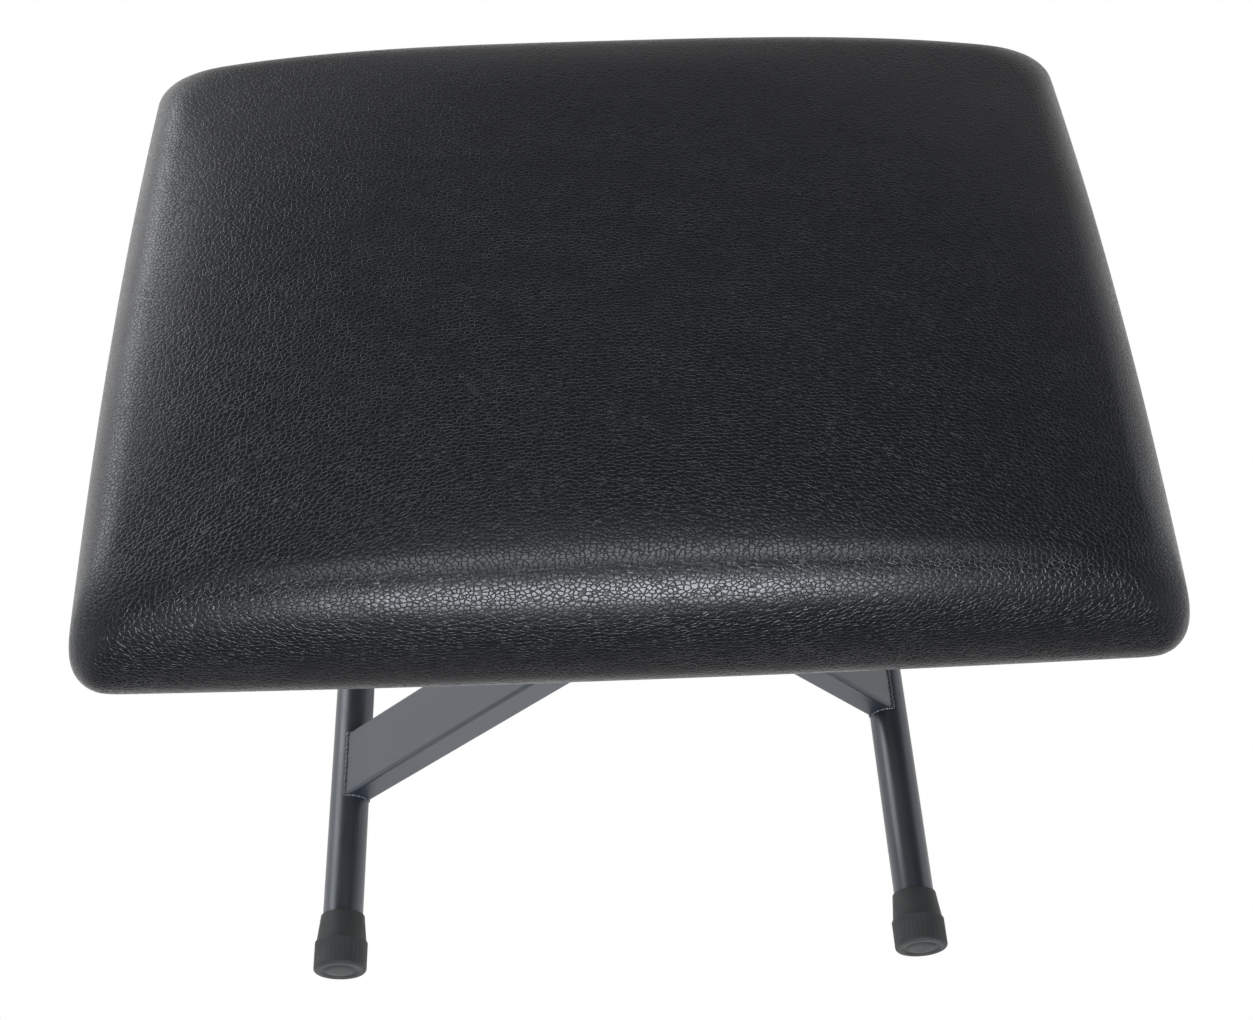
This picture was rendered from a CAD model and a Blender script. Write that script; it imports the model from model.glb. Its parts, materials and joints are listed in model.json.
import functools
import json
import math

import bmesh
import bpy
from bpy.props import FloatProperty, FloatVectorProperty, IntProperty, PointerProperty
from mathutils import Matrix, Vector


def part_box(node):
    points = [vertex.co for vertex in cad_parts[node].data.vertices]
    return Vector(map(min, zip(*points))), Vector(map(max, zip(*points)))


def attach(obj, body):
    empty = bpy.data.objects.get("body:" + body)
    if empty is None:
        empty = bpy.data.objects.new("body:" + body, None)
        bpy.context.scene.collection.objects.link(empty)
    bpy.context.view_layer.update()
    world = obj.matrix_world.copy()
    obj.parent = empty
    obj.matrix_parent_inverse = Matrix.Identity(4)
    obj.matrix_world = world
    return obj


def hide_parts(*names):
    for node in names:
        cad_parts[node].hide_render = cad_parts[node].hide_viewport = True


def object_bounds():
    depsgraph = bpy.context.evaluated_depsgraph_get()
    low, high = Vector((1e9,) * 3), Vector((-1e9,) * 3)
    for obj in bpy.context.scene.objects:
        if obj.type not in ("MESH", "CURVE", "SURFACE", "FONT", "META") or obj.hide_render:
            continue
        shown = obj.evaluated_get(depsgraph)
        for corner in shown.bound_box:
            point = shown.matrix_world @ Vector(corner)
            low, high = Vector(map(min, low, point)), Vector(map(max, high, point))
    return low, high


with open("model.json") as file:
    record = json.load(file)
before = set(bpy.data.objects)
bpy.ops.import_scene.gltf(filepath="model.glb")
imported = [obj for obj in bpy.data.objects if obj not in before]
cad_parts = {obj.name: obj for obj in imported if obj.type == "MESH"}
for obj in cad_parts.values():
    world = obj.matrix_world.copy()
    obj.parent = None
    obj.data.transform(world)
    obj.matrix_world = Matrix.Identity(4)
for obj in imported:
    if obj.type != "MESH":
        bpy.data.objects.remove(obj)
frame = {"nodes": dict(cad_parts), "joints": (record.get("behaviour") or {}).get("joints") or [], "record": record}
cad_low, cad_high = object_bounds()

bl_info = {
    "name": "Folding piano stool",
    "version": (1, 0, 0),
    "blender": (4, 5, 0),
    "location": "View3D > Sidebar > Stool",
    "description": "Dresses a folding piano stool: cushion, caps, welds, finishes and stage",
    "category": "Object",
}

MILLIMETRE = 0.001


# Places read from the frame

@functools.cache
def node_box(name):
    """Lowest corner, highest corner, middle and size of a CAD node."""
    low, high = (Vector(corner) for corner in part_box(name))
    return low, high, (low + high) / 2, high - low


def joint_place(name):
    """Point on a joint's axis."""
    for joint in frame["joints"]:
        if joint["name"] == name:
            return Vector(joint["pos_m"])
    raise RuntimeError("the frame has no joint named " + name)


# Settings that a user would change

class CushionSettings(bpy.types.PropertyGroup):
    """Shape of the padded seat."""

    corner_height: FloatProperty(
        name="Corner height", description="Top of the seat above its underside at a corner, before rounding",
        default=48 * MILLIMETRE, unit="LENGTH",
    )
    widest_height: FloatProperty(
        name="Widest line", description="Height of the widest line above the underside",
        default=13 * MILLIMETRE, unit="LENGTH",
    )
    under_inset: FloatProperty(
        name="Underside inset", description="How far the sides draw in below the widest line",
        default=5 * MILLIMETRE, unit="LENGTH",
    )
    edge_round: FloatProperty(
        name="Edge round", description="Plan width of the rounded top edge",
        default=27 * MILLIMETRE, unit="LENGTH",
    )
    corner_round: FloatProperty(
        name="Corner round", description="Plan radius of the corners",
        default=13 * MILLIMETRE, unit="LENGTH",
    )
    long_side_share: FloatProperty(
        name="Long side share", description="Fullness of the long sides, as a share of the short sides'",
        default=1 / 3,
    )
    fullness: FloatProperty(
        name="Fullness", description="How far the stuffed short sides stand out past the drawn seat",
        default=5.5 * MILLIMETRE, unit="LENGTH",
    )
    side_bow: FloatProperty(
        name="Side bow", description="How far the middle of a side stands out from its corners",
        default=3 * MILLIMETRE, unit="LENGTH",
    )
    crown_across: FloatProperty(
        name="Crown across", description="Rise of the crown from the short sides to the middle",
        default=18.8 * MILLIMETRE, unit="LENGTH",
    )
    crown_deep: FloatProperty(
        name="Crown deep", description="Rise of the crown from the long sides to the middle",
        default=10 * MILLIMETRE, unit="LENGTH",
    )
    border: FloatProperty(
        name="Border", description="Width of the cover's border under the board, from the seat's side",
        default=23 * MILLIMETRE, unit="LENGTH",
    )
    spacing: FloatProperty(
        name="Mesh spacing", description="Rough size of a face before subdivision",
        default=5 * MILLIMETRE, unit="LENGTH",
    )
    slack: FloatProperty(
        name="Slack", description="How much lower the cover is cut than the stuffed seat",
        default=1.2 * MILLIMETRE, unit="LENGTH",
    )
    pull_in: FloatProperty(
        name="Pull in", description="How far a side is drawn in between its corners before stuffing",
        default=0.5 * MILLIMETRE, unit="LENGTH",
    )
    swell: FloatProperty(
        name="Swell", description="Furthest that the stuffing may push a point of the cover",
        default=8 * MILLIMETRE, unit="LENGTH",
    )
    side_hold: FloatProperty(
        name="Side hold", description="How firmly the foam keeps the sides of the cover in place",
        default=0.22,
    )
    top_hold: FloatProperty(
        name="Top hold", description="How firmly the foam keeps the top of the cover in place", default=0.1,
    )
    foam_inset: FloatProperty(
        name="Foam inset", description="How far the foam lies inside the cover",
        default=7 * MILLIMETRE, unit="LENGTH",
    )
    colour: FloatVectorProperty(
        name="Leather colour", description="Colour of the faux leather",
        subtype="COLOR", default=(0.0040, 0.0043, 0.0054),
    )
    pebble: FloatProperty(
        name="Pebble", description="Width of one pebble of the grain",
        default=1.7 * MILLIMETRE, unit="LENGTH",
    )
    gloss: FloatProperty(name="Roughness", description="Roughness of the leather's pebbles", default=0.3)


class FrameSettings(bpy.types.PropertyGroup):
    """Finish of the steel frame and its welds."""

    paint: FloatVectorProperty(
        name="Paint", description="Colour of the frame's powder coat",
        subtype="COLOR", default=(0.014, 0.018, 0.027),
    )
    bar_thickness: FloatProperty(
        name="Bar thickness", description="Thickness of the leg bars across their wide face",
        default=19 * MILLIMETRE, unit="LENGTH",
    )
    bead: FloatProperty(
        name="Weld bead", description="Radius of one ripple of a weld bead",
        default=2.1 * MILLIMETRE, unit="LENGTH",
    )
    ripple: FloatProperty(
        name="Weld ripple", description="Distance from one ripple of a weld bead to the next",
        default=1.3 * MILLIMETRE, unit="LENGTH",
    )


class CapSettings(bpy.types.PropertyGroup):
    """Shape of the rubber foot caps."""

    flutes: IntProperty(name="Flutes", description="Shallow grooves round a cap's base", default=36)
    flute_depth: FloatProperty(
        name="Flute depth", description="Depth of the grooves round a cap's base",
        default=0.35 * MILLIMETRE, unit="LENGTH",
    )
    mouth_wall: FloatProperty(
        name="Mouth wall", description="Thickness of a cap's wall at its mouth",
        default=1.2 * MILLIMETRE, unit="LENGTH",
    )
    rubber: FloatVectorProperty(
        name="Rubber", description="Colour of the foot caps",
        subtype="COLOR", default=(0.018, 0.0205, 0.0225),
    )


class StageSettings(bpy.types.PropertyGroup):
    """Camera and light of the studio."""

    camera_place: FloatVectorProperty(
        name="Camera place", description="Where the camera stands", subtype="TRANSLATION", unit="LENGTH",
        default=(-16.2 * MILLIMETRE, -518.7 * MILLIMETRE, 1045.3 * MILLIMETRE),
    )
    camera_pitch: FloatProperty(
        name="Camera pitch", description="How far the camera looks down", subtype="ANGLE",
        default=math.radians(55.799),
    )
    camera_yaw: FloatProperty(
        name="Camera yaw", description="How far the camera is turned to its right", subtype="ANGLE",
        default=math.radians(2.177),
    )
    camera_roll: FloatProperty(
        name="Camera roll", description="How far the camera leans", subtype="ANGLE",
        default=math.radians(-0.15),
    )
    focal_pixels: FloatProperty(
        name="Focal length", description="Focal length in pixels of the whole picture's width",
        default=1671.2,
    )
    floor_colour: FloatVectorProperty(
        name="Floor", description="Colour of the studio floor", subtype="COLOR", default=(0.86, 0.86, 0.86),
    )
    floor_half: FloatProperty(
        name="Floor half width", description="Half of the floor's width and depth",
        default=4.0, unit="LENGTH",
    )
    floor_front: FloatProperty(
        name="Floor front", description="Where the floor's front edge lies", default=-0.33, unit="LENGTH",
    )


PICTURE_WIDTH_PIXELS = 1253
SENSOR_WIDTH = 36.0
NEAR_CLIP = 0.05


# Shader node helpers

NOISE_ROUGHNESS = 0.55


def new_material(name):
    """Material with an empty Principled shader, its node tree and that shader."""
    material = bpy.data.materials.new(name)
    material.use_nodes = True
    tree = material.node_tree
    return material, tree, tree.nodes["Principled BSDF"]


def add(tree, kind, inputs=None, **settings):
    """Adds a node, sets its options, then its unlinked inputs by name or number."""
    node = tree.nodes.new(kind)
    for key, value in settings.items():
        setattr(node, key, value)
    for key, value in (inputs or {}).items():
        if isinstance(value, bpy.types.NodeSocket):
            tree.links.new(value, node.inputs[key])
        else:
            node.inputs[key].default_value = value
    return node


def object_place(tree, scale=(1.0, 1.0, 1.0)):
    """Object coordinates, scaled."""
    coordinates = add(tree, "ShaderNodeTexCoord")
    inputs = {"Vector": coordinates.outputs["Object"], "Scale": scale}
    return add(tree, "ShaderNodeMapping", inputs).outputs["Vector"]


def noise(tree, place, scale, detail=4.0):
    """Noise value."""
    inputs = {"Vector": place, "Scale": scale, "Detail": detail, "Roughness": NOISE_ROUGHNESS}
    return add(tree, "ShaderNodeTexNoise", inputs).outputs["Fac"]


def spread(tree, value, low, high, out_low=0.0, out_high=1.0):
    """Maps a range of a value onto another, smoothly and held at both ends."""
    inputs = {"Value": value, "From Min": low, "From Max": high, "To Min": out_low, "To Max": out_high}
    return add(tree, "ShaderNodeMapRange", inputs, interpolation_type="SMOOTHSTEP").outputs["Result"]


def mix_colour(tree, share, first, second):
    """Colour between two colours."""
    node = add(tree, "ShaderNodeMix", {0: share}, data_type="RGBA")
    for socket, colour in ((node.inputs[6], first), (node.inputs[7], second)):
        if isinstance(colour, bpy.types.NodeSocket):
            tree.links.new(colour, socket)
        else:
            socket.default_value = (*colour, 1.0)
    return node.outputs[2]


def bump(tree, height, distance, strength):
    """Normal of a bump whose height from 0 to 1 stands for a distance."""
    inputs = {"Height": height, "Distance": distance, "Strength": strength}
    return add(tree, "ShaderNodeBump", inputs).outputs["Normal"]


def math_node(tree, operation, first, second):
    """One sum of two values."""
    return add(tree, "ShaderNodeMath", {0: first, 1: second}, operation=operation).outputs[0]


def scaled(colour, factor):
    """Colour made darker or lighter."""
    return tuple(channel * factor for channel in colour)


# Materials

PEEL_DEPTH = 0.06 * MILLIMETRE
RUBBER_PORE_DEPTH = 0.05 * MILLIMETRE
STREAK_DEPTH = 0.03 * MILLIMETRE
SPARK_DEPTH = 0.04 * MILLIMETRE
FOAM_PORE_DEPTH = 0.4 * MILLIMETRE
FIBRE_DEPTH = 0.15 * MILLIMETRE
# Shares of a pebble: how far its outline wanders, and how deep its crease is
WANDER_SHARE = 0.45
CREASE_SHARE = 0.15
FLOOR_GLOW = 0.42


def leather_material():
    """Black faux leather: rounded pebbles with dark creases between them, a little longer across the seat."""
    settings = bpy.context.scene.stool_cushion
    material, tree, shader = new_material("black_faux_leather")
    place = object_place(tree, scale=(0.72, 1.0, 1.0))
    wander = add(tree, "ShaderNodeTexNoise", {"Vector": place, "Scale": 170.0, "Detail": 1.5})
    centred = {0: wander.outputs["Color"], 1: (0.5, 0.5, 0.5)}
    shift = add(tree, "ShaderNodeVectorMath", centred, operation="SUBTRACT")
    reach = (settings.pebble * WANDER_SHARE,) * 3
    pull = add(tree, "ShaderNodeVectorMath", {0: shift.outputs[0], 1: reach}, operation="MULTIPLY")
    warped = add(tree, "ShaderNodeVectorMath", {0: place, 1: pull.outputs[0]}, operation="ADD").outputs[0]
    cell_inputs = {"Vector": warped, "Scale": 1 / settings.pebble, "Randomness": 0.9}
    edges = add(tree, "ShaderNodeTexVoronoi", cell_inputs, feature="DISTANCE_TO_EDGE").outputs["Distance"]
    cells = add(tree, "ShaderNodeTexVoronoi", cell_inputs, feature="F1").outputs["Distance"]
    creases = spread(tree, edges, 0.0, 0.14)
    domes = spread(tree, cells, 0.8, 0.05)
    fine = noise(tree, place, scale=2600.0)
    broad = noise(tree, place, scale=14.0, detail=3.0)
    rise = spread(tree, noise(tree, place, scale=60.0, detail=2.0), 0.3, 0.7, 0.7, 1.0)
    crease_height = math_node(tree, "MULTIPLY", creases, 0.8)
    dome_height = math_node(tree, "MULTIPLY", domes, 0.25)
    relief = math_node(tree, "ADD", crease_height, dome_height)
    relief = math_node(tree, "MULTIPLY", relief, rise)
    relief = math_node(tree, "ADD", relief, math_node(tree, "MULTIPLY", fine, 0.03))
    tone = mix_colour(tree, creases, scaled(settings.colour, 0.3), scaled(settings.colour, 1.2))
    wear = spread(tree, broad, 0.35, 0.75, 0.0, 0.3)
    tree.links.new(mix_colour(tree, wear, tone, scaled(settings.colour, 1.6)), shader.inputs["Base Color"])
    satin = spread(tree, broad, 0.3, 0.7, settings.gloss + 0.03, settings.gloss - 0.02)
    dullness = spread(tree, creases, 0.0, 1.0, 0.15, 0.0)
    tree.links.new(math_node(tree, "ADD", satin, dullness), shader.inputs["Roughness"])
    grain = bump(tree, relief, settings.pebble * CREASE_SHARE, strength=0.58)
    tree.links.new(grain, shader.inputs["Normal"])
    shader.inputs["Specular IOR Level"].default_value = 0.48
    shader.inputs["Specular Tint"].default_value = (0.9, 0.94, 1.0, 1.0)
    return material


def paint_material():
    """Satin dark grey powder coat with a fine orange peel and faint handling marks."""
    settings = bpy.context.scene.stool_frame
    material, tree, shader = new_material("dark_grey_powder_coat")
    place = object_place(tree)
    peel = noise(tree, place, scale=900.0, detail=3.0)
    patches = noise(tree, place, scale=22.0, detail=5.0)
    rubs = noise(tree, object_place(tree, scale=(1.0, 0.15, 1.0)), scale=190.0, detail=6.0)
    light_patches = spread(tree, patches, 0.35, 0.7)
    tone = mix_colour(tree, light_patches, scaled(settings.paint, 0.9), scaled(settings.paint, 1.12))
    tone = mix_colour(tree, spread(tree, rubs, 0.62, 0.74, 0.0, 0.25), tone, scaled(settings.paint, 1.7))
    tree.links.new(tone, shader.inputs["Base Color"])
    satin = spread(tree, patches, 0.3, 0.7, 0.29, 0.36)
    rough = math_node(tree, "ADD", satin, math_node(tree, "MULTIPLY", peel, 0.06))
    tree.links.new(rough, shader.inputs["Roughness"])
    tree.links.new(bump(tree, peel, PEEL_DEPTH, strength=0.5), shader.inputs["Normal"])
    shader.inputs["Specular IOR Level"].default_value = 1.0
    shader.inputs["Specular Tint"].default_value = (0.87, 0.93, 1.0, 1.0)
    return material


def rubber_material():
    """Matte dark rubber with a fine moulded texture and dust in its pores."""
    settings = bpy.context.scene.stool_caps
    material, tree, shader = new_material("dark_cap_rubber")
    place = object_place(tree)
    pores = noise(tree, place, scale=1500.0)
    dust = noise(tree, place, scale=60.0, detail=6.0)
    raised = spread(tree, pores, 0.3, 0.7)
    tone = mix_colour(tree, raised, scaled(settings.rubber, 0.85), scaled(settings.rubber, 1.2))
    tone = mix_colour(tree, spread(tree, dust, 0.5, 0.8, 0.0, 0.25), tone, scaled(settings.rubber, 2.4))
    tree.links.new(tone, shader.inputs["Base Color"])
    tree.links.new(spread(tree, dust, 0.3, 0.7, 0.58, 0.72), shader.inputs["Roughness"])
    tree.links.new(bump(tree, pores, RUBBER_PORE_DEPTH, strength=0.7), shader.inputs["Normal"])
    return material


def metal_material(name, colour, roughness, streak_scale):
    """Bare or plated steel with fine drawn streaks."""
    material, tree, shader = new_material(name)
    streaks = noise(tree, object_place(tree, scale=streak_scale), scale=900.0, detail=3.0)
    spots = noise(tree, object_place(tree), scale=240.0)
    tone = mix_colour(tree, spread(tree, spots, 0.35, 0.75), scaled(colour, 0.85), colour)
    tree.links.new(tone, shader.inputs["Base Color"])
    drawn = spread(tree, streaks, 0.3, 0.7, roughness - 0.06, roughness + 0.1)
    tree.links.new(drawn, shader.inputs["Roughness"])
    tree.links.new(bump(tree, streaks, STREAK_DEPTH, strength=0.5), shader.inputs["Normal"])
    shader.inputs["Metallic"].default_value = 1.0
    return material


def moulded_material(name, colour, roughness):
    """Moulded plastic with a fine spark texture."""
    material, tree, shader = new_material(name)
    spark = noise(tree, object_place(tree), scale=2200.0)
    flow = noise(tree, object_place(tree), scale=70.0)
    tone = mix_colour(tree, spread(tree, flow, 0.35, 0.7), scaled(colour, 0.9), scaled(colour, 1.1))
    tree.links.new(tone, shader.inputs["Base Color"])
    satin = spread(tree, flow, 0.3, 0.7, roughness - 0.05, roughness + 0.05)
    tree.links.new(satin, shader.inputs["Roughness"])
    tree.links.new(bump(tree, spark, SPARK_DEPTH, strength=0.6), shader.inputs["Normal"])
    return material


def foam_material():
    """Open-cell foam."""
    material, tree, shader = new_material("open_cell_foam")
    place = object_place(tree)
    inputs = {"Vector": place, "Scale": 1100.0}
    pores = add(tree, "ShaderNodeTexVoronoi", inputs, feature="F1").outputs["Distance"]
    tone = mix_colour(tree, spread(tree, pores, 0.1, 0.7), (0.66, 0.60, 0.42), (0.86, 0.82, 0.66))
    tree.links.new(tone, shader.inputs["Base Color"])
    tree.links.new(bump(tree, pores, FOAM_PORE_DEPTH, strength=0.9), shader.inputs["Normal"])
    shader.inputs["Roughness"].default_value = 0.95
    return material


def plywood_material():
    """Birch plywood face with long grain, fine fibres and a few paler patches."""
    material, tree, shader = new_material("birch_plywood")
    long_place = object_place(tree, scale=(1.0, 14.0, 14.0))
    fibre_place = object_place(tree, scale=(1.0, 40.0, 40.0))
    patches = noise(tree, object_place(tree, scale=(1.0, 3.0, 3.0)), scale=5.0, detail=2.0)
    figure = noise(tree, long_place, scale=1.6, detail=3.0)
    fibres = noise(tree, fibre_place, scale=55.0, detail=5.0)
    tone = mix_colour(tree, spread(tree, figure, 0.3, 0.7), (0.60, 0.43, 0.26), (0.74, 0.57, 0.38))
    tone = mix_colour(tree, spread(tree, fibres, 0.5, 0.7, 0.0, 0.55), tone, (0.46, 0.31, 0.18))
    tone = mix_colour(tree, spread(tree, patches, 0.45, 0.7, 0.0, 0.35), tone, (0.80, 0.64, 0.45))
    tree.links.new(tone, shader.inputs["Base Color"])
    tree.links.new(bump(tree, fibres, FIBRE_DEPTH, strength=0.6), shader.inputs["Normal"])
    shader.inputs["Roughness"].default_value = 0.72
    return material


MATERIAL_MAKERS = {
    "black_vinyl": leather_material,
    "foam": foam_material,
    "plywood": plywood_material,
    "painted_frame": paint_material,
    "zinc_steel": lambda: metal_material("zinc_plated_steel", (0.58, 0.59, 0.58), 0.34, (1.0, 0.1, 1.0)),
    "cap_rubber": rubber_material,
    "black_plastic": lambda: moulded_material("black_moulded_plastic", (0.02, 0.02, 0.022), 0.48),
    "white_nylon": lambda: moulded_material("natural_nylon", (0.78, 0.77, 0.72), 0.42),
    "spring_steel": lambda: metal_material("drawn_spring_wire", (0.42, 0.42, 0.43), 0.3, (1.0, 0.1, 1.0)),
}
materials = {}


def slot_material(slot):
    """The finish of one of the record's material slots, made once."""
    if slot not in materials:
        materials[slot] = MATERIAL_MAKERS[slot]()
    return materials[slot]


# Mesh helpers

def finished_piece(name, mesh_builder, slot, body, replaced=()):
    """Object from a bmesh, smooth, with its finish, riding on its body."""
    mesh = bpy.data.meshes.new(name)
    mesh_builder.to_mesh(mesh)
    mesh_builder.free()
    mesh.shade_smooth()
    piece = bpy.data.objects.new(name, mesh)
    bpy.context.scene.collection.objects.link(piece)
    mesh.materials.append(slot_material(slot))
    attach(piece, body)
    if replaced:
        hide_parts(*replaced)
    return piece


# Cushion

def rounded_corner(x, y, half_x, half_y, radius):
    """Moves a point of a rectangle so that the rectangle's corners become round."""
    over_x = (abs(x) - (half_x - radius)) / radius
    over_y = (abs(y) - (half_y - radius)) / radius
    if over_x <= 0 or over_y <= 0:
        return x, y
    reach = max(over_x, over_y)
    share = min(over_x, over_y) / reach
    turn = share * math.pi / 4
    along, across = reach * math.cos(turn), reach * math.sin(turn)
    if over_x < over_y:
        along, across = across, along
    new_x = half_x - radius + along * radius
    new_y = half_y - radius + across * radius
    return math.copysign(new_x, x), math.copysign(new_y, y)


# Share of the way from the cube's middle to its side at which the rounded edge starts
TOP_EDGE_SHARE = 0.86
# Height of the widest line on the cube, which goes from -1 to 1
WIDEST_SHARE = -0.6
# Part of the rounded edge's turn that the cube's sides take, before its top takes the rest
SIDE_TURN = math.radians(50)
# How much of the rounded edge's draw-in the corner's radius gains
CORNER_GAIN_SHARE = 0.6
LEAST_CORNER_SHARE = 1 / 3


def edge_turn(ring, w):
    """Angle along the rounded top edge: 0 at the widest line, 90 degrees where the top starts."""
    if w >= 1:
        over = max(0.0, ring - TOP_EDGE_SHARE) / (1 - TOP_EDGE_SHARE)
        return math.pi / 2 - over * (math.pi / 2 - SIDE_TURN)
    return max(0.0, (w - WIDEST_SHARE) / (1 - WIDEST_SHARE)) * SIDE_TURN


def side_bow(x, y, half_x, half_y, bow):
    """Moves the middle of each side out (or in, if the bow is negative) between its corners."""
    share_x = min(1.0, abs(x) / half_x)
    share_y = min(1.0, abs(y) / half_y)
    out_x = bow * (1 - share_y ** 2) * share_x ** 4
    out_y = bow * (1 - share_x ** 2) * share_y ** 4
    return x + math.copysign(out_x, x), y + math.copysign(out_y, y)


def cushion_point(u, v, w, inset, drop, pull_in):
    """Place on the stuffed seat of a point of a cube from -1 to 1.

    The inset draws the sides in, the drop lowers the top, and the pull in flattens the sides' bow.
    """
    settings = bpy.context.scene.stool_cushion
    low, high, middle, size = node_box("seat_cover")
    half_x = size.x / 2 + settings.fullness - inset - settings.side_bow
    half_y = size.y / 2 + settings.fullness * settings.long_side_share - inset - settings.side_bow
    ring = max(abs(u), abs(v))
    turn = edge_turn(ring, w)
    draw_in = settings.edge_round * (1 - math.cos(turn))
    height = settings.widest_height
    if w < WIDEST_SHARE:
        share = (WIDEST_SHARE - w) / (1 + WIDEST_SHARE)
        draw_in = settings.under_inset * (1 - math.sqrt(max(0.0, 1 - share * share)))
        height *= 1 - share
    outer_x = half_x - draw_in
    outer_y = half_y - draw_in
    radius = max(settings.corner_round - inset, settings.corner_round * LEAST_CORNER_SHARE)
    radius += draw_in * CORNER_GAIN_SHARE
    rim_u = u / ring if ring else 0.0
    rim_v = v / ring if ring else 0.0
    x, y = rounded_corner(rim_u * outer_x, rim_v * outer_y, outer_x, outer_y, radius)
    within = ring if w <= -1 else min(1.0, ring / TOP_EDGE_SHARE) if w >= 1 else 1.0
    x, y = side_bow(x * within, y * within, half_x, half_y, settings.side_bow - pull_in)
    crown = settings.crown_across * (1 - abs(x / half_x) ** 3) + settings.crown_deep * (1 - (y / half_y) ** 2)
    if w > WIDEST_SHARE:
        height += math.sin(turn) * (settings.corner_height - settings.widest_height + crown)
    return Vector((middle.x + x, middle.y + y, low.z + height * (1 - drop / size.z)))


def seat_form(inset=0.0, drop=0.0, pull_in=0.0):
    """Closed form of the padded seat from a cube whose faces are cut into a grid."""
    settings = bpy.context.scene.stool_cushion
    size = node_box("seat_cover")[3]
    form = bmesh.new()
    across = round(size.x / settings.spacing)
    deep = round(size.y / settings.spacing)
    rows = round(size.z / settings.spacing)
    for level in (1, -1):
        place = Matrix.Translation((0, 0, level))
        bmesh.ops.create_grid(form, x_segments=across, y_segments=deep, size=1, matrix=place)
    rim = [edge for edge in form.edges if edge.is_boundary and edge.verts[0].co.z > 0]
    for row in range(rows):
        made = bmesh.ops.extrude_edge_only(form, edges=rim)["geom"]
        rim = [part for part in made if isinstance(part, bmesh.types.BMEdge) and part.is_boundary]
        lowered = [part for part in made if isinstance(part, bmesh.types.BMVert)]
        bmesh.ops.translate(form, verts=lowered, vec=(0, 0, -2 / rows))
    bmesh.ops.remove_doubles(form, verts=form.verts, dist=1 / (2 * across))
    for vertex in form.verts:
        u, v, w = vertex.co
        vertex.co = cushion_point(u, v, w, inset, drop, pull_in)
    bmesh.ops.recalc_face_normals(form, faces=form.faces)
    return form


def recess(form, border, floor_height, ceiling_height):
    """Lifts what lies no higher than the floor height, inside a round-cornered border, to the ceiling."""
    middle, size = node_box("seat_cover")[2:]
    corner = bpy.context.scene.stool_cushion.corner_round
    straight_x = size.x / 2 - border - corner
    straight_y = size.y / 2 - border - corner
    for vertex in form.verts:
        over_x = abs(vertex.co.x - middle.x) - straight_x
        over_y = abs(vertex.co.y - middle.y) - straight_y
        within = max(over_x, over_y) if min(over_x, over_y) < 0 else math.hypot(over_x, over_y)
        if vertex.co.z <= floor_height and within < corner:
            vertex.co.z = ceiling_height


STUFFING_PRESSURE = 4.0
STUFFING_FRAMES = 20
COVER_MASS = 0.35
COVER_STIFFNESS = 15
COVER_BENDING = 8
SIMULATION_QUALITY = 6
# A point in the lowest of so many slices of the board's thickness counts as the underside
UNDERSIDE_SLICES = 20
# Power of the share that a point is towards a corner, which keeps the corners' firm hold near them
CORNER_HOLD_POWER = 4


def hold_weight(place):
    """How firmly a point of the cover keeps its place: wholly underneath and at the corners, least on top."""
    settings = bpy.context.scene.stool_cushion
    low, high, middle, size = node_box("seat_cover")
    height = place.z - low.z
    if height < settings.widest_height / 2:
        return 1.0
    rise = max(0.0, min(1.0, (height - settings.widest_height) / settings.corner_height))
    hold = settings.side_hold + (settings.top_hold - settings.side_hold) * rise
    cornered = abs(place.x - middle.x) * abs(place.y - middle.y) * 4 / (size.x * size.y)
    return hold + (1 - hold) * min(1.0, cornered) ** CORNER_HOLD_POWER


def stuffing_cloth(piece):
    """Cloth modifier whose pressure is the stuffing, without gravity."""
    cloth = piece.modifiers.new("stuffing", "CLOTH")
    cloth.settings.quality = SIMULATION_QUALITY
    cloth.settings.mass = COVER_MASS
    cloth.settings.tension_stiffness = COVER_STIFFNESS
    cloth.settings.compression_stiffness = COVER_STIFFNESS
    cloth.settings.shear_stiffness = COVER_STIFFNESS / 2
    cloth.settings.bending_stiffness = COVER_BENDING
    cloth.settings.use_pressure = True
    cloth.settings.uniform_pressure_force = STUFFING_PRESSURE
    cloth.settings.vertex_group_mass = "held"
    cloth.settings.pin_stiffness = 1.0
    cloth.settings.effector_weights.gravity = 0.0
    cloth.collision_settings.use_collision = False
    cloth.point_cache.frame_start = 1
    cloth.point_cache.frame_end = STUFFING_FRAMES
    return cloth


def stuffed(piece):
    """Lets the stuffing push the cover up from a slightly low cut, then keeps the shape."""
    settings = bpy.context.scene.stool_cushion
    mesh = piece.data
    start = [vertex.co.copy() for vertex in mesh.vertices]
    held = piece.vertex_groups.new(name="held")
    for vertex in mesh.vertices:
        held.add([vertex.index], hold_weight(vertex.co), "REPLACE")
    cloth = stuffing_cloth(piece)
    scene = bpy.context.scene
    for step in range(1, STUFFING_FRAMES + 1):
        scene.frame_set(step)
    graph = bpy.context.evaluated_depsgraph_get()
    pushed = [vertex.co.copy() for vertex in piece.evaluated_get(graph).data.vertices]
    piece.modifiers.remove(cloth)
    piece.vertex_groups.remove(held)
    scene.frame_set(1)
    for vertex, old, new in zip(mesh.vertices, start, pushed):
        move = new - old
        if move.length > settings.swell:
            move *= settings.swell / move.length
        vertex.co = old + move


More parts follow.
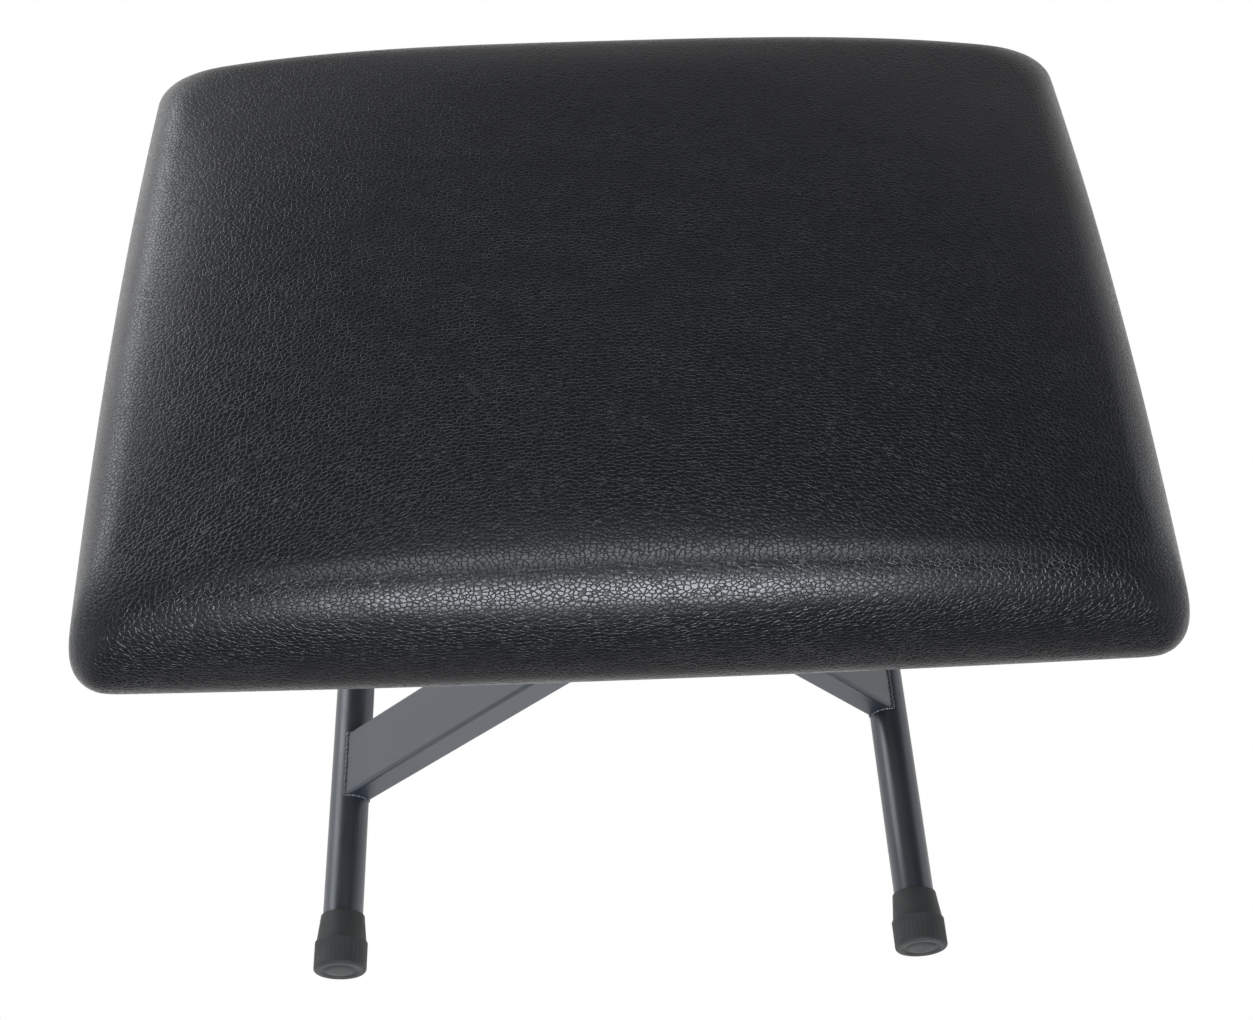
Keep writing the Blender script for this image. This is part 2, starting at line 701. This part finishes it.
def cushion_cover():
    """Stuffed cover, turned in under the board."""
    settings = bpy.context.scene.stool_cushion
    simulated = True
    form = seat_form(drop=settings.slack, pull_in=settings.pull_in) if simulated else seat_form()
    cushion = finished_piece("cushion", form, "black_vinyl", "seat", ["seat_cover"])
    if simulated:
        stuffed(cushion)
    form = bmesh.new()
    form.from_mesh(cushion.data)
    seat_low = node_box("seat_cover")[0]
    board_middle, board_size = node_box("seat_board")[2:]
    recess(form, settings.border, seat_low.z + board_size.z / UNDERSIDE_SLICES, board_middle.z)
    form.to_mesh(cushion.data)
    form.free()
    smooth = cushion.modifiers.new("smooth", "SUBSURF")
    smooth.levels = smooth.render_levels = 1


def cushion_foam():
    """Foam inside the cover, round and over the board."""
    settings = bpy.context.scene.stool_cushion
    board_low, board_high, board_middle, board_size = node_box("seat_board")
    board_room = (node_box("seat_cover")[3].x - board_size.x) / 2
    form = seat_form(inset=settings.foam_inset, drop=settings.foam_inset)
    recess(form, board_room, board_high.z, board_high.z)
    for vertex in form.verts:
        vertex.co.z = max(vertex.co.z, board_middle.z)
    foam = finished_piece("foam", form, "foam", "seat", ["foam_pad"])


class STOOL_OT_cushion(bpy.types.Operator):
    """Make the stuffed seat and the foam inside it"""

    bl_idname = "stool.make_cushion"
    bl_label = "Cushion"

    def execute(self, context):
        cushion_cover()
        cushion_foam()
        return {"FINISHED"}


# Foot caps

CAPS = {
    "left_front_foot_cap": "front_leg",
    "left_rear_foot_cap": "front_leg",
    "right_front_foot_cap": "rear_leg",
    "right_rear_foot_cap": "rear_leg",
}


# Shares of a cap's base radius, but for the neck, which is a share of the way from mouth to base
NECK_SHARE = 0.66
LIP_SHARE = 0.12
RING_OUTER_SHARE = 0.72
RING_INNER_SHARE = 0.54
GROOVE_SHARE = 0.05
# Shares of a cap's length between which its base is fluted, and to which its bore reaches
FLUTE_START_SHARE = 0.54
FLUTE_END_SHARE = 0.93
BORE_SHARE = 0.85
STEPS_A_FLUTE = 4
# A vertex this close to the base's full radius, as a share of it, belongs to its outside
OUTSIDE_SHARE = 0.98
MERGE_DISTANCE = 0.01 * MILLIMETRE


def cap_profile(length, base, mouth, bore):
    """Half section of a cap as points of radius and distance from its mouth."""
    step = length / 2
    neck = mouth + (base - mouth) * NECK_SHARE
    lip = base * LIP_SHARE
    ring_out = base * RING_OUTER_SHARE
    ring_in = base * RING_INNER_SHARE
    groove = base * GROOVE_SHARE
    return [
        (bore, 0.0),
        (mouth - lip * 0.2, 0.0),
        (mouth, lip * 0.2),
        (mouth + (neck - mouth) * 0.5, step * 0.5),
        (neck, step - lip * 0.55),
        (neck + (base - neck) * 0.2, step - lip * 0.4),
        (base - (base - neck) * 0.15, step - lip * 0.1),
        (base, step + lip * 0.15),
        (base, step + lip * 0.5),
        (base, step + lip),
        (base, length - lip * 1.6),
        (base, length - lip),
        (base * 0.985, length - lip * 0.5),
        (base * 0.95, length - lip * 0.18),
        (base * 0.88, length),
        (ring_out + groove * 0.4, length),
        (ring_out, length - groove * 0.4),
        (ring_out - groove * 0.4, length - groove),
        (ring_in + groove * 0.4, length - groove),
        (ring_in, length - groove * 0.4),
        (ring_in - groove * 0.4, length),
        (ring_in * 0.5, length),
    ]


def foot_cap(name):
    """Cap spun from its section, with shallow flutes round its base and a flat underneath."""
    settings = bpy.context.scene.stool_caps
    low, high, middle, size = node_box(name)
    tube_middle, tube_size = node_box(CAPS[name].replace("leg", "foot_tube"))[2:]
    base = size.x / 2
    bore = tube_size.x / 2
    mouth = bore + settings.mouth_wall
    front = middle.y < 0
    outward = -1 if front else 1
    mouth_y = high.y if front else low.y
    centre = Vector((middle.x, 0, tube_middle.z))
    profile = cap_profile(size.y, base, mouth, bore)
    cap = bmesh.new()
    points = []
    for radius, distance in profile:
        points.append(cap.verts.new((middle.x + radius, mouth_y + outward * distance, centre.z)))
    edges = [cap.edges.new(pair) for pair in zip(points, points[1:])]
    steps = settings.flutes * STEPS_A_FLUTE
    section = points + edges
    bmesh.ops.spin(cap, geom=section, cent=centre, axis=(0, 1, 0), angle=math.tau, steps=steps, use_merge=True)
    bmesh.ops.remove_doubles(cap, verts=cap.verts, dist=MERGE_DISTANCE)
    open_edges = [e for e in cap.edges if e.is_boundary and abs(e.verts[0].co.y - mouth_y) > size.y / 2]
    bmesh.ops.holes_fill(cap, edges=open_edges)
    base_start = mouth_y + outward * size.y * FLUTE_START_SHARE
    base_end = mouth_y + outward * size.y * FLUTE_END_SHARE
    for vertex in cap.verts:
        arm = vertex.co - Vector((centre.x, vertex.co.y, centre.z))
        if arm.length > base * OUTSIDE_SHARE and (vertex.co.y - base_start) * (vertex.co.y - base_end) < 0:
            wave = (1 + math.cos(math.atan2(arm.z, arm.x) * settings.flutes)) / 2
            vertex.co -= arm.normalized() * settings.flute_depth * wave
        vertex.co.z = max(vertex.co.z, 0.0)
    inner = [e for e in cap.edges if e.is_boundary]
    bore_ring = bmesh.ops.extrude_edge_only(cap, edges=inner)["geom"]
    for vertex in (g for g in bore_ring if isinstance(g, bmesh.types.BMVert)):
        vertex.co.y += outward * size.y * BORE_SHARE
    bmesh.ops.holes_fill(cap, edges=[e for e in cap.edges if e.is_boundary])
    bmesh.ops.recalc_face_normals(cap, faces=cap.faces)
    return finished_piece(name + "_rubber", cap, "cap_rubber", CAPS[name], [name])


class STOOL_OT_caps(bpy.types.Operator):
    """Make the four rubber foot caps"""

    bl_idname = "stool.make_caps"
    bl_label = "Foot caps"

    def execute(self, context):
        for name in CAPS:
            foot_cap(name)
        return {"FINISHED"}


# Welds

# Shares by which a ripple's size swings from one to the next, and slowly along the bead
HAND_SHARE = 0.12
DRIFT_SHARE = 0.06


def weld_points(body, end_name):
    """Points round a bar's end where it meets a round tube, spaced by one ripple."""
    settings = bpy.context.scene.stool_frame
    bar_middle, bar_size = node_box(body + "_bar")[2:]
    pivot = joint_place("leg_pivot")
    pivot.y = bar_middle.y
    tube_middle, tube_size = node_box(end_name)[2:]
    centre = Vector((tube_middle.x, bar_middle.y, tube_middle.z))
    inward = (pivot - centre).normalized()
    across = Vector((0, 1, 0))
    upward = inward.cross(across)
    half_width = bar_size.y / 2 - settings.bead / 2
    half_height = settings.bar_thickness / 2 - settings.bead / 2
    radius = tube_size.x / 2 - settings.bead / 2
    sides = [
        (Vector((-half_width, -half_height)), Vector((half_width, -half_height))),
        (Vector((half_width, -half_height)), Vector((half_width, half_height))),
        (Vector((half_width, half_height)), Vector((-half_width, half_height))),
        (Vector((-half_width, half_height)), Vector((-half_width, -half_height))),
    ]
    points = []
    for start, end in sides:
        count = max(2, round((end - start).length / settings.ripple))
        for number in range(count):
            place = start.lerp(end, number / count)
            depth = math.sqrt(radius ** 2 - place.y ** 2)
            points.append(centre + across * place.x + upward * place.y + inward * depth)
    return points


class STOOL_OT_welds(bpy.types.Operator):
    """Make the weld beads where the bars meet the round tubes"""

    bl_idname = "stool.make_welds"
    bl_label = "Welds"

    def execute(self, context):
        settings = context.scene.stool_frame
        for body in ("front_leg", "rear_leg"):
            for end in ("foot", "top"):
                tube = body.replace("leg", end) + "_tube"
                bead = bmesh.new()
                for number, place in enumerate(weld_points(body, tube)):
                    swing = 1 + HAND_SHARE * math.sin(number * 2.4) + DRIFT_SHARE * math.sin(number * 0.7)
                    radius = settings.bead * swing
                    matrix = Matrix.Translation(place)
                    bmesh.ops.create_icosphere(bead, subdivisions=2, radius=radius, matrix=matrix)
                finished_piece(body + "_" + end + "_weld", bead, "painted_frame", body)
        return {"FINISHED"}


# Finishes of the CAD nodes that stay

class STOOL_OT_finishes(bpy.types.Operator):
    """Give every CAD node the finish of its slot"""

    bl_idname = "stool.make_finishes"
    bl_label = "Finishes"

    def execute(self, context):
        for entry in frame["record"]["subparts"]:
            node = frame["nodes"][entry["node"]]
            finish = slot_material(entry["material_slot"])
            if not node.material_slots:
                node.data.materials.append(finish)
            for holder in node.material_slots:
                holder.material = finish
        return {"FINISHED"}


# Stage

def floor_material():
    """Pale matte studio floor."""
    settings = bpy.context.scene.stool_stage
    material, tree, shader = new_material("studio_floor")
    cloudy = noise(tree, object_place(tree), scale=1.2, detail=2.0)
    shade = scaled(settings.floor_colour, 0.985)
    tone = mix_colour(tree, spread(tree, cloudy, 0.3, 0.7), shade, settings.floor_colour)
    tree.links.new(tone, shader.inputs["Base Color"])
    tree.links.new(tone, shader.inputs["Emission Color"])
    shader.inputs["Emission Strength"].default_value = FLOOR_GLOW
    shader.inputs["Roughness"].default_value = 0.9
    return material


# Place and size in metres, and power in watts, of each soft light
LIGHTS = {
    "soft_box": ((-0.04, -1.93, 1.2), (0.8, 0.55), 38.0),
    "overhead": ((0.0, -0.6, 2.3), (1.3, 0.9), 20.0),
    "left_panel": ((-1.8, 1.15, 1.0), (1.6, 1.2), 21.0),
    "right_panel": ((2.2, 0.5, 0.7), (1.2, 1.0), 3.0),
}


def area_light(name, target):
    """Rectangular soft light that points at a target."""
    place, size, power = LIGHTS[name]
    light = bpy.data.lights.new(name, "AREA")
    light.shape = "RECTANGLE"
    light.size, light.size_y = size
    light.energy = power
    lamp = bpy.data.objects.new(name, light)
    lamp.location = place
    lamp.rotation_euler = (target - Vector(place)).to_track_quat("-Z", "Y").to_euler()
    bpy.context.scene.collection.objects.link(lamp)


def studio_world():
    """Studio walls: white to the camera, bright low at the back and the left, dim above and in front."""
    world = bpy.data.worlds.new("studio")
    world.use_nodes = True
    tree = world.node_tree
    tree.nodes.clear()
    direction = add(tree, "ShaderNodeTexCoord").outputs["Generated"]
    parts = add(tree, "ShaderNodeSeparateXYZ", {0: direction})
    low_share = spread(tree, parts.outputs["Z"], 0.0, 0.85, 1.0, 0.12)
    away_share = spread(tree, parts.outputs["Y"], -0.6, 0.2, 0.03, 1.0)
    side = math_node(tree, "ABSOLUTE", parts.outputs["X"], 0.0)
    side_share = spread(tree, side, 0.3, 0.9, 0.1, 1.0)
    open_share = math_node(tree, "MAXIMUM", away_share, side_share)
    right_share = spread(tree, parts.outputs["X"], -0.1, 0.8, 0.75, 0.5)
    glow = math_node(tree, "MULTIPLY", math_node(tree, "MULTIPLY", low_share, open_share), right_share)
    path = add(tree, "ShaderNodeLightPath")
    strength = math_node(tree, "MAXIMUM", glow, path.outputs["Is Camera Ray"])
    background = add(tree, "ShaderNodeBackground", {"Color": (1.0, 1.0, 1.0, 1.0), "Strength": strength})
    output = add(tree, "ShaderNodeOutputWorld", {"Surface": background.outputs[0]})
    output.is_active_output = True
    return world


def studio_floor():
    """Pale floor that lights the stool and shows in its reflections, but the camera sees white there."""
    settings = bpy.context.scene.stool_stage
    ground = bmesh.new()
    place = Matrix.Translation((0, settings.floor_half + settings.floor_front, 0))
    bmesh.ops.create_grid(ground, x_segments=4, y_segments=4, size=settings.floor_half, matrix=place)
    mesh = bpy.data.meshes.new("studio_floor")
    ground.to_mesh(mesh)
    ground.free()
    floor = bpy.data.objects.new("studio_floor", mesh)
    mesh.materials.append(floor_material())
    bpy.context.scene.collection.objects.link(floor)
    floor.visible_camera = False


def studio_camera():
    """Camera at the photographed angle."""
    settings = bpy.context.scene.stool_stage
    lens = bpy.data.cameras.new("camera")
    lens.sensor_width = SENSOR_WIDTH
    lens.lens = settings.focal_pixels / PICTURE_WIDTH_PIXELS * SENSOR_WIDTH
    lens.clip_start = NEAR_CLIP
    camera = bpy.data.objects.new("camera", lens)
    camera.location = settings.camera_place
    pan = Matrix.Rotation(-settings.camera_yaw, 4, "Z")
    tilt = Matrix.Rotation(math.pi / 2 - settings.camera_pitch, 4, "X")
    lean = Matrix.Rotation(settings.camera_roll, 4, "Z")
    camera.rotation_euler = (pan @ tilt @ lean).to_euler()
    bpy.context.scene.collection.objects.link(camera)
    bpy.context.scene.camera = camera


class STOOL_OT_stage(bpy.types.Operator):
    """Make the floor, the lights and the camera"""

    bl_idname = "stool.make_stage"
    bl_label = "Stage"

    def execute(self, context):
        studio_floor()
        context.scene.world = studio_world()
        for name in LIGHTS:
            area_light(name, (cad_low + cad_high) / 2)
        studio_camera()
        context.scene.view_settings.view_transform = "Standard"
        return {"FINISHED"}


class STOOL_PT_panel(bpy.types.Panel):
    """Sidebar panel that lists the steps and their settings"""

    bl_label = "Piano stool"
    bl_idname = "STOOL_PT_panel"
    bl_space_type = "VIEW_3D"
    bl_region_type = "UI"
    bl_category = "Stool"

    def draw(self, context):
        scene = context.scene
        groups = (scene.stool_cushion, scene.stool_frame, scene.stool_caps, scene.stool_stage)
        for operator in OPERATORS:
            self.layout.operator(operator.bl_idname)
        for group in groups:
            box = self.layout.box()
            for name in group.bl_rna.properties.keys():
                if name not in {"rna_type", "name"}:
                    box.prop(group, name)


SETTINGS = {
    "stool_cushion": CushionSettings,
    "stool_frame": FrameSettings,
    "stool_caps": CapSettings,
    "stool_stage": StageSettings,
}
OPERATORS = (STOOL_OT_cushion, STOOL_OT_caps, STOOL_OT_welds, STOOL_OT_finishes, STOOL_OT_stage)


def register():
    """Registers the settings, the operators and the panel."""
    for name, group in SETTINGS.items():
        bpy.utils.register_class(group)
        setattr(bpy.types.Scene, name, PointerProperty(type=group))
    for operator in OPERATORS:
        bpy.utils.register_class(operator)
    bpy.utils.register_class(STOOL_PT_panel)


def unregister():
    """Takes them off again."""
    bpy.utils.unregister_class(STOOL_PT_panel)
    for operator in reversed(OPERATORS):
        bpy.utils.unregister_class(operator)
    for name, group in SETTINGS.items():
        delattr(bpy.types.Scene, name)
        bpy.utils.unregister_class(group)


def main():
    """Builds everything in order."""
    register()
    bpy.ops.stool.make_cushion()
    bpy.ops.stool.make_caps()
    bpy.ops.stool.make_welds()
    bpy.ops.stool.make_finishes()
    bpy.ops.stool.make_stage()


if __name__ == "__main__":
    main()
